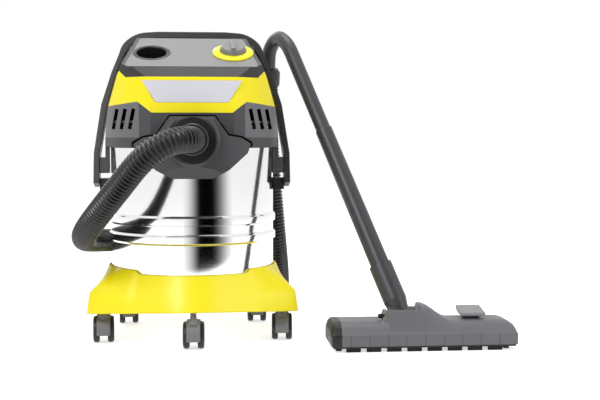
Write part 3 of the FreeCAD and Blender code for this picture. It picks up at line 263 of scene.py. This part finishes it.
def skin_group():
    """Shader group for a moulded skin: Height is fine grain, Mottle a broad uneven tone, and
    Edge a normal rounded over sharp edges within the radius given."""
    group = bpy.data.node_groups.new("moulded_skin", "ShaderNodeTree")
    for label in ("Grain Scale", "Edge Radius"):
        group.interface.new_socket(label, in_out="INPUT", socket_type="NodeSocketFloat")
    for label in ("Height", "Mottle"):
        group.interface.new_socket(label, in_out="OUTPUT", socket_type="NodeSocketFloat")
    group.interface.new_socket("Edge", in_out="OUTPUT", socket_type="NodeSocketVector")
    inside = group.nodes.new("NodeGroupInput")
    outside = group.nodes.new("NodeGroupOutput")
    where = group.nodes.new("ShaderNodeTexCoord")
    fine = group.nodes.new("ShaderNodeTexNoise")
    fine.inputs["Detail"].default_value = 3
    broad = group.nodes.new("ShaderNodeTexNoise")
    broad.inputs["Scale"].default_value = 14
    broad.inputs["Detail"].default_value = 4
    edge = group.nodes.new("ShaderNodeBevel")
    edge.samples = 6
    group.links.new(where.outputs["Object"], fine.inputs["Vector"])
    group.links.new(where.outputs["Object"], broad.inputs["Vector"])
    group.links.new(inside.outputs["Grain Scale"], fine.inputs["Scale"])
    group.links.new(inside.outputs["Edge Radius"], edge.inputs["Radius"])
    group.links.new(fine.outputs[0], outside.inputs["Height"])
    group.links.new(broad.outputs[0], outside.inputs["Mottle"])
    group.links.new(edge.outputs[0], outside.inputs["Edge"])
    return group


SKIN = skin_group()


def linear(red, green, blue):
    """Screen values from 0 to 255 as a linear colour."""
    return tuple((part / 255) ** 2.2 for part in (red, green, blue)) + (1,)


def moulded(name, colour, rough, grain=1400, depth=0.00006, edge=0.0012, uneven=0.1):
    """Moulded plastic or rubber: colour and roughness shift with the mottle, and the grain
    is a bump over the rounded edges."""
    material, tree, shader = new_material(name)
    skin_node = tree.nodes.new("ShaderNodeGroup")
    skin_node.node_tree = SKIN
    skin_node.inputs["Grain Scale"].default_value = grain
    skin_node.inputs["Edge Radius"].default_value = edge
    tone = tree.nodes.new("ShaderNodeMix")
    tone.data_type = "RGBA"
    tone.inputs["A"].default_value = tuple(part * (1 - uneven) for part in colour[:3]) + (1,)
    tone.inputs["B"].default_value = tuple(min(part * (1 + uneven), 1) for part in colour[:3]) + (1,)
    gloss = tree.nodes.new("ShaderNodeMapRange")
    gloss.inputs["To Min"].default_value = rough * 0.85
    gloss.inputs["To Max"].default_value = rough * 1.15
    bump = tree.nodes.new("ShaderNodeBump")
    bump.inputs["Distance"].default_value = depth
    tree.links.new(skin_node.outputs["Mottle"], tone.inputs["Factor"])
    tree.links.new(skin_node.outputs["Mottle"], gloss.inputs["Value"])
    tree.links.new(skin_node.outputs["Height"], bump.inputs["Height"])
    tree.links.new(skin_node.outputs["Edge"], bump.inputs["Normal"])
    tree.links.new(tone.outputs["Result"], shader.inputs["Base Color"])
    tree.links.new(gloss.outputs["Result"], shader.inputs["Roughness"])
    tree.links.new(bump.outputs["Normal"], shader.inputs["Normal"])
    return material


def dress(material, *nodes):
    """Put a material on CAD nodes whose shape stays."""
    for node in nodes:
        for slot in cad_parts[node].material_slots:
            slot.material = material


hose_black = moulded("hose_black", linear(17, 17, 18), 0.33, 900, 0.00004, 0.0005)
hose.data.materials.append(hose_black)
cuff_black = moulded("cuff_black", linear(24, 24, 26), 0.42)
dress(cuff_black, "hose_cuff_port", "hose_cuff_grip")
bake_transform(hose)
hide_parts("hose")


# Chassis base. A yellow polypropylene skirt, moulded in one piece, that holds the container.
# It slopes out from a rim at the steel to a crease, then drops nearly straight, and its plan
# grows from a circle to a rounded pentagon with a caster under each corner.
rim_radius = 0.1585
rim_low, rim_high = 0.134, 0.141
crease_height = 0.097
skirt_bottom, front_bottom = 0.057, 0.070
skirt_wall = 0.004
CASTERS = {"front": (0, -0.165), "right": (0.167, -0.084), "rear_right": (0.132, 0.132),
           "rear_left": (-0.132, 0.132), "left": (-0.167, -0.084)}
corners = list(CASTERS.values())
edges = [(-math.pi / 2, 0.187)]
for here, after in zip(corners, corners[1:] + corners[:1]):
    edges.append((math.atan2(here[0] - after[0], after[1] - here[1]), 0.181))
roundness = 34


def pentagon(turn):
    """Distance to a rounded polygon: the power mean of the distances to its edges, each at a
    turn and a distance from the container's axis."""
    closeness = [np.maximum(np.cos(turn - facing), 0) / reach for facing, reach in edges]
    return sum(part ** roundness for part in closeness) ** (-1 / roundness)


turn = np.linspace(0, 2 * math.pi, 360, endpoint=False)
from_front = np.abs((turn + math.pi / 2 + math.pi) % (2 * math.pi) - math.pi)
raised = np.clip((np.degrees(from_front) - 37) / 6, 0, 1) * np.clip(
    (150 - np.degrees(from_front)) / 6, 0, 1)
rim_height = rim_low + (rim_high - rim_low) * raised * raised * (3 - 2 * raised)
outer = pentagon(turn)
forward = np.clip((-outer * np.sin(turn) - 0.095) / 0.092, 0, 1)
bottom = skirt_bottom + (front_bottom - skirt_bottom) * forward
shoulder = np.maximum(outer - 0.0065 - 0.003 * (1 - raised), rim_radius + 0.008)
rings = [(0 * turn + 0.02, 0 * turn + 0.088), (0 * turn + 0.15, 0 * turn + 0.088),
         (0 * turn + rim_radius - 0.0014, 0 * turn + 0.092),
         (0 * turn + rim_radius - 0.0014, rim_height - 0.001),
         (0 * turn + rim_radius, rim_height), (0 * turn + rim_radius + 0.003, rim_height - 0.0008),
         (shoulder - 0.0015, 0 * turn + crease_height + 0.0018),
         (shoulder + 0.0004, 0 * turn + crease_height - 0.002),
         (outer - 0.0004, bottom + 0.0015), (outer - 0.0015, bottom),
         (outer - skirt_wall, bottom),
         (shoulder - skirt_wall, 0 * turn + crease_height - 0.006),
         (0 * turn + rim_radius - 0.008, 0 * turn + 0.086), (0 * turn + 0.02, 0 * turn + 0.084)]
base_grid = np.stack([np.stack([radius * np.cos(turn), radius * np.sin(turn), height], axis=1)
                      for radius, height in rings])
base = skin("chassis_skirt", base_grid[::-1])
yellow = moulded("yellow_plastic", linear(255, 236, 0), 0.34, 1600, 0.00004, 0.002, 0.03)
base.data.materials.append(yellow)
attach(base, "chassis")
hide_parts("chassis_base")


# Casters. Five twin-wheel furniture casters of black polyamide with grey hoods, each on a
# steel stem pushed up into the base.
hood_grey = moulded("hood_grey", linear(118, 118, 120), 0.4, 1200, 0.00005, 0.0015)
wheel_black = moulded("wheel_black", linear(20, 20, 21), 0.45, 900, 0.00006, 0.002)
trail = 0.014
axle_height = 0.025
wheel_side = [(0.022, 0.0075), (0.0242, 0.0085), (0.025, 0.0115), (0.025, 0.015),
              (0.0238, 0.0182), (0.021, 0.0193), (0.0195, 0.0185), (0.008, 0.0175),
              (0.006, 0.0185), (0.0, 0.0185)]
wheel_half = np.array([(0.0055, 0.0075)] + wheel_side)
wheel_pair = np.vstack([wheel_half[::-1] * (1, -1), wheel_half])
fender = np.array([(0.0262, -0.0125), (0.0278, -0.0125), (0.029, -0.0112), (0.029, 0.0112),
                   (0.0278, 0.0125), (0.0262, 0.0125)])
web = np.array([(0.0058, -0.003), (0.0264, -0.003), (0.0264, 0.003), (0.0058, 0.003)])
stem = np.array([(0.0, 0.046), (0.0095, 0.046), (0.009, 0.0515), (0.0058, 0.058),
                 (0.0055, 0.0725), (0.0, 0.0725)])
hood_arc = np.radians(np.linspace(198, 15, 28))
full_turn = np.linspace(0, 2 * math.pi, 40, endpoint=False)


def about(section, turns, centre, first, second, along):
    """A section of radii and offsets carried round an axis: at each turn a point stands at
    the centre, plus its radius along the turned spoke, plus its offset along the axis."""
    spoke = np.cos(turns)[:, None] * np.array(first) + np.sin(turns)[:, None] * np.array(second)
    return (np.array(centre) + section[None, :, 0, None] * spoke[:, None]
            + section[None, :, 1, None] * np.array(along))


for corner, heading in (("front", 88), ("right", 86), ("rear_right", 89), ("rear_left", 94),
                        ("left", 93)):
    x, y = CASTERS[corner]
    back = (math.cos(math.radians(heading)), math.sin(math.radians(heading)), 0)
    axle = (-back[1], back[0], 0)
    hub = (x + trail * back[0], y + trail * back[1], axle_height)
    rolled = about(wheel_pair, full_turn, hub, back, (0, 0, 1), axle).transpose(1, 0, 2)
    wheels = skin(f"twin_wheels_{corner}", rolled, capped=False)
    wheels.data.materials.append(wheel_black)
    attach(wheels, f"wheels_{corner}")
    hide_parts(f"caster_{corner}_wheels")
    hood = skin(f"hood_{corner}", about(fender, hood_arc, hub, back, (0, 0, 1), axle))
    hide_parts(f"caster_{corner}_hood")
    plate = skin(f"hood_web_{corner}", about(web, hood_arc, hub, back, (0, 0, 1), axle))
    rod = skin(f"stem_{corner}", about(stem, full_turn, (x, y, 0), (1, 0, 0), (0, 1, 0),
                                       (0, 0, 1)).transpose(1, 0, 2), capped=False)
    for part in (hood, plate, rod):
        part.data.materials.append(hood_grey)
        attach(part, f"caster_{corner}")


# Container. Stainless steel sheet, drawn to a can with two rolled beads and polished until
# it mirrors the room.
can_radius = 0.156
can_wall = 0.0012
can_profile = [(0.0, 0.075), (0.135, 0.075), (0.148, 0.0765), (0.154, 0.081), (can_radius, 0.09)]
for low in (0.189, 0.223):
    can_profile += [(can_radius, low - 0.0015), (can_radius + 0.0012, low), (can_radius + 0.004, low + 0.0025),
                    (can_radius + 0.0042, low + 0.0085), (can_radius + 0.004, low + 0.0145),
                    (can_radius + 0.0012, low + 0.017), (can_radius, low + 0.0185)]
can_profile += [(can_radius, 0.3), (can_radius, 0.365)]
can_outer = np.array(can_profile)
can_inner = can_outer[::-1] - (can_wall, 0)
can_inner[-1] = (0.0, 0.075 + can_wall)
can_inner[:, 1] = np.maximum(can_inner[:, 1], 0.075 + can_wall)
can_line = np.vstack([can_outer, can_inner])


def turned(name, profile, columns=96, crease=35):
    """A surface of revolution about the container's axis: each profile point is a radius and
    a height, carried round a full turn."""
    around = np.linspace(0, 2 * math.pi, columns, endpoint=False)
    radius, height = profile[:, 0][:, None], profile[:, 1][:, None]
    grid = np.stack([radius * np.cos(around), radius * np.sin(around),
                     height + 0 * around], axis=-1)
    return skin(name, grid, capped=False, crease=crease)


can = turned("steel_container", can_line, 180)
steel, steel_tree, steel_shader = new_material("polished_steel")
steel_shader.inputs["Base Color"].default_value = (0.86, 0.86, 0.87, 1)
steel_shader.inputs["Metallic"].default_value = 1
where = steel_tree.nodes.new("ShaderNodeTexCoord")
stretch = steel_tree.nodes.new("ShaderNodeMapping")
stretch.inputs["Scale"].default_value = (1, 1, 60)
brushed = steel_tree.nodes.new("ShaderNodeTexNoise")
brushed.inputs["Scale"].default_value = 20
haze = steel_tree.nodes.new("ShaderNodeMapRange")
haze.inputs["To Min"].default_value = 0.05
haze.inputs["To Max"].default_value = 0.16
steel_tree.links.new(where.outputs["Object"], stretch.inputs["Vector"])
steel_tree.links.new(stretch.outputs["Vector"], brushed.inputs["Vector"])
steel_tree.links.new(brushed.outputs[0], haze.inputs["Value"])
steel_tree.links.new(haze.outputs["Result"], steel_shader.inputs["Roughness"])
can.data.materials.append(steel)
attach(can, "chassis")
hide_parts("container")


# Collar, side lugs and suction port. Dark polypropylene mouldings: the collar is pressed
# over the container's rim, and the port housing is screwed to the steel in front.
housing_dark = moulded("housing_dark", linear(66, 66, 69), 0.5)
socket_black = moulded("socket_black", linear(16, 16, 17), 0.45)
seal_rubber = moulded("seal_rubber", linear(20, 20, 20), 0.7)
screw_steel = moulded("screw_steel", linear(190, 190, 192), 0.3, edge=0.0004)
dress(socket_black, "container_collar", "side_lugs", "inlet_socket")
dress(housing_dark, "port_housing")
dress(seal_rubber, "inlet_seal", "head_seal")
dress(screw_steel, "chassis_screws", "head_screws", "bow_pins", "flap_pin")


# Motor head. Dark mouldings around the motor: the lower housing with the apron in front, two
# slotted side covers and the lid, all of grained polypropylene.
cover_dark = moulded("cover_dark", linear(104, 104, 107), 0.45)
lid_dark = moulded("lid_dark", linear(36, 36, 38), 0.42)
dress(housing_dark, "head_lower_housing")
dress(cover_dark, "side_cover_left", "side_cover_right")
dress(lid_dark, "top_lid", "filter_cover")
dress(socket_black, "cable_hook", "cord_gland")


# Yellow fascia and label plate. The fascia is a moulded band that clips round the front of
# the head, and a bare satin silver plate is set into it.
silver = moulded("silver_plate", linear(214, 214, 221), 0.36, 2200, 0.00002, 0.0008, 0.03)
dress(yellow, "front_fascia")
dress(silver, "label_plate")


# Control panel with the knob and the blower socket. The panel is a grey moulded plate on the
# sloping lid. The knob is a yellow skirt with a grey cap, and the socket takes the hose.
panel_grey = moulded("panel_grey", linear(128, 128, 127), 0.5, 1500, 0.00005)
cap_grey = moulded("cap_grey", linear(120, 120, 121), 0.35, 1500, 0.00003)
dress(panel_grey, "control_panel")
dress(yellow, "knob_ring")
dress(cap_grey, "knob_cap")
dress(socket_black, "blower_socket", "switch_unit")
ring_grey = moulded("ring_grey", linear(74, 74, 76), 0.45)
dress(ring_grey, "blower_grille")


# Motor, fan, filter and float, inside the head. Cast and laminated metal, moulded plastic,
# and a pleated fleece filter in its frame.
motor_metal = moulded("motor_metal", linear(150, 140, 128), 0.4)
filter_paper = moulded("filter_paper", linear(226, 222, 206), 0.9, 500, 0.0002)
frame_grey = moulded("frame_grey", linear(120, 120, 122), 0.5)
dress(socket_black, "motor_housing", "fan", "float_cage")
dress(motor_metal, "motor_stator", "rotor_shaft")
dress(screw_steel, "motor_bearings")
dress(frame_grey, "filter_frame")
dress(filter_paper, "pleated_filter")
dress(yellow, "float_cup")


# Bow handle. One dark grained moulding that swings on two pins at the sides of the head.
bow_dark = moulded("bow_dark", linear(40, 40, 42), 0.42, edge=0.003)
dress(bow_dark, "bow_handle")


# Wand. Two plastic suction tubes and a curved grip, pushed into each other, and the neck that
# turns on the floor nozzle.
wand_dark = moulded("wand_dark", linear(56, 57, 60), 0.4, edge=0.002)
dress(wand_dark, "wand_neck", "suction_tube", "grip_tube")


# Floor nozzle. A wide grained shell over a sole plate, with a saddle that carries the neck, a
# black end cap, and a foot pedal that raises the two squeegee strips.
nozzle_box = [np.array(corner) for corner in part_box("nozzle_shell")]
nozzle_left, nozzle_right = nozzle_box[0][0], nozzle_box[1][0]
nozzle_front, nozzle_rear = nozzle_box[0][1], nozzle_box[1][1]
brim, band_top, roof = 0.0112, 0.031, 0.053
shell_wall = 0.0022
groove_pitch = (nozzle_right - nozzle_left) / 10
hump_left, hump_right, hump_end = 0.337, 0.412, 0.470
hump_rise = 0.028
pocket_left, pocket_right, pocket_floor = 0.3505, 0.4055, 0.0405

# The section runs over the nozzle from the front brim to the rear one: places and heights.
section = np.array([(0.000, brim), (0.000, 0.020), (0.000, band_top), (0.003, 0.034),
                    (0.012, 0.044), (0.018, 0.049), (0.026, 0.052), (0.034, roof),
                    (0.080, roof), (0.092, 0.051), (0.100, 0.044), (0.105, 0.034),
                    (0.105, brim)])
fine = np.linspace(0, 1, 90)
section_run = np.concatenate([[0], np.cumsum(np.linalg.norm(np.diff(section, axis=0), axis=1))])
section_run /= section_run[-1]
place = nozzle_front + np.interp(fine, section_run, section[:, 0])
height = np.interp(fine, section_run, section[:, 1])


def eased(value, low, high):
    """Zero below low and one above high, with the smooth cubic step between."""
    part = np.clip((value - low) / (high - low), 0, 1)
    return part * part * (3 - 2 * part)


def nozzle_surface(x, y, z):
    """The section at each x: its top sinks on a quarter ellipse at both ends, the hump rises
    over the middle and slopes to the right, the neck's pocket is pressed into it, and narrow
    grooves divide the front band."""
    end = np.minimum((x - nozzle_left) / 0.010, (nozzle_right - x) / 0.030)
    fall = np.sqrt(np.clip(1 - (1 - np.clip(end, 0, 1)) ** 2, 0, 1))
    upper = np.clip((z - band_top) / (roof - band_top), 0, 1)
    z = np.where(z > band_top, band_top + (z - band_top) * (0.3 + 0.7 * fall), z)
    hump = eased(x, hump_left, hump_left + 0.014) * (1 - eased(x, hump_right, hump_end))
    across = (1 - 0.75 * eased(y, -0.160, -0.128)) * eased(y, nozzle_front + 0.002, -0.204)
    low_cheek = 1 - eased(x, pocket_left - 0.005, pocket_left)
    across = across * (1 - low_cheek * (0.55 + 0.45 * eased(y, -0.178, -0.170)))
    z = z + hump_rise * hump * across * upper
    inside = (eased(x, pocket_left - 0.002, pocket_left) * (1 - eased(x, pocket_right, pocket_right + 0.004))
              * eased(y, -0.2055, -0.2025))
    z = np.where(inside > 0, z + (np.minimum(z, pocket_floor) - z) * inside, z)
    phase = np.abs((x - nozzle_left + groove_pitch / 2) % groove_pitch - groove_pitch / 2)
    narrow = np.clip(1 - phase / 0.0018, 0, 1) * (end > 1) * (y < nozzle_front + 0.001)
    return y + 0.0016 * narrow * (z < band_top + 0.002), z


x_rows = np.linspace(nozzle_left, nozzle_right, 420)
x_grid = np.repeat(x_rows[:, None], len(fine), axis=1)
y_grid, z_grid = nozzle_surface(x_grid, place[None, :] + 0 * x_grid, height[None, :] + 0 * x_grid)
middle = np.array((0, (nozzle_front + nozzle_rear) / 2, brim))
body = np.stack([x_grid, y_grid, z_grid], axis=-1)


def closing(row):
    """Rows that shrink the end section towards the middle of its brim, to close the end."""
    centre = np.array((row[0, 0], middle[1], middle[2]))
    return np.stack([centre + (row - centre) * share for share in (0.02, 0.5, 0.97)])


body = np.concatenate([closing(body[0]), body, closing(body[-1])[::-1]])[:, ::-1]
shell = skin("nozzle_body", body, around=False, capped=False, crease=28)
wall = shell.modifiers.new("wall", "SOLIDIFY")
wall.thickness = shell_wall
wall.offset = -1
nozzle_dark = moulded("nozzle_dark", linear(100, 101, 104), 0.45, edge=0.001)
shell.data.materials.append(nozzle_dark)
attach(shell, "nozzle")
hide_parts("nozzle_shell")

cap_rows = body[:26] + np.where(np.arange(3)[None, None, :] == 2, 0.0004, 0)
cap_rows[..., 1] = middle[1] + (cap_rows[..., 1] - middle[1]) * 1.004
cap_rows[:3, :, 0] -= 0.0005
end_cap = skin("nozzle_end_cap", cap_rows, around=False, capped=False, crease=28)
end_cap.data.materials.append(socket_black)
cap_wall = end_cap.modifiers.new("wall", "SOLIDIFY")
cap_wall.thickness = 0.001
cap_wall.offset = -1
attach(end_cap, "nozzle")

pedal_light = moulded("pedal_light", linear(132, 133, 136), 0.42, edge=0.002)
dress(pedal_light, "foot_pedal")
dress(socket_black, "nozzle_sole", "nozzle_pin")
dress(seal_rubber, "sealing_strips")
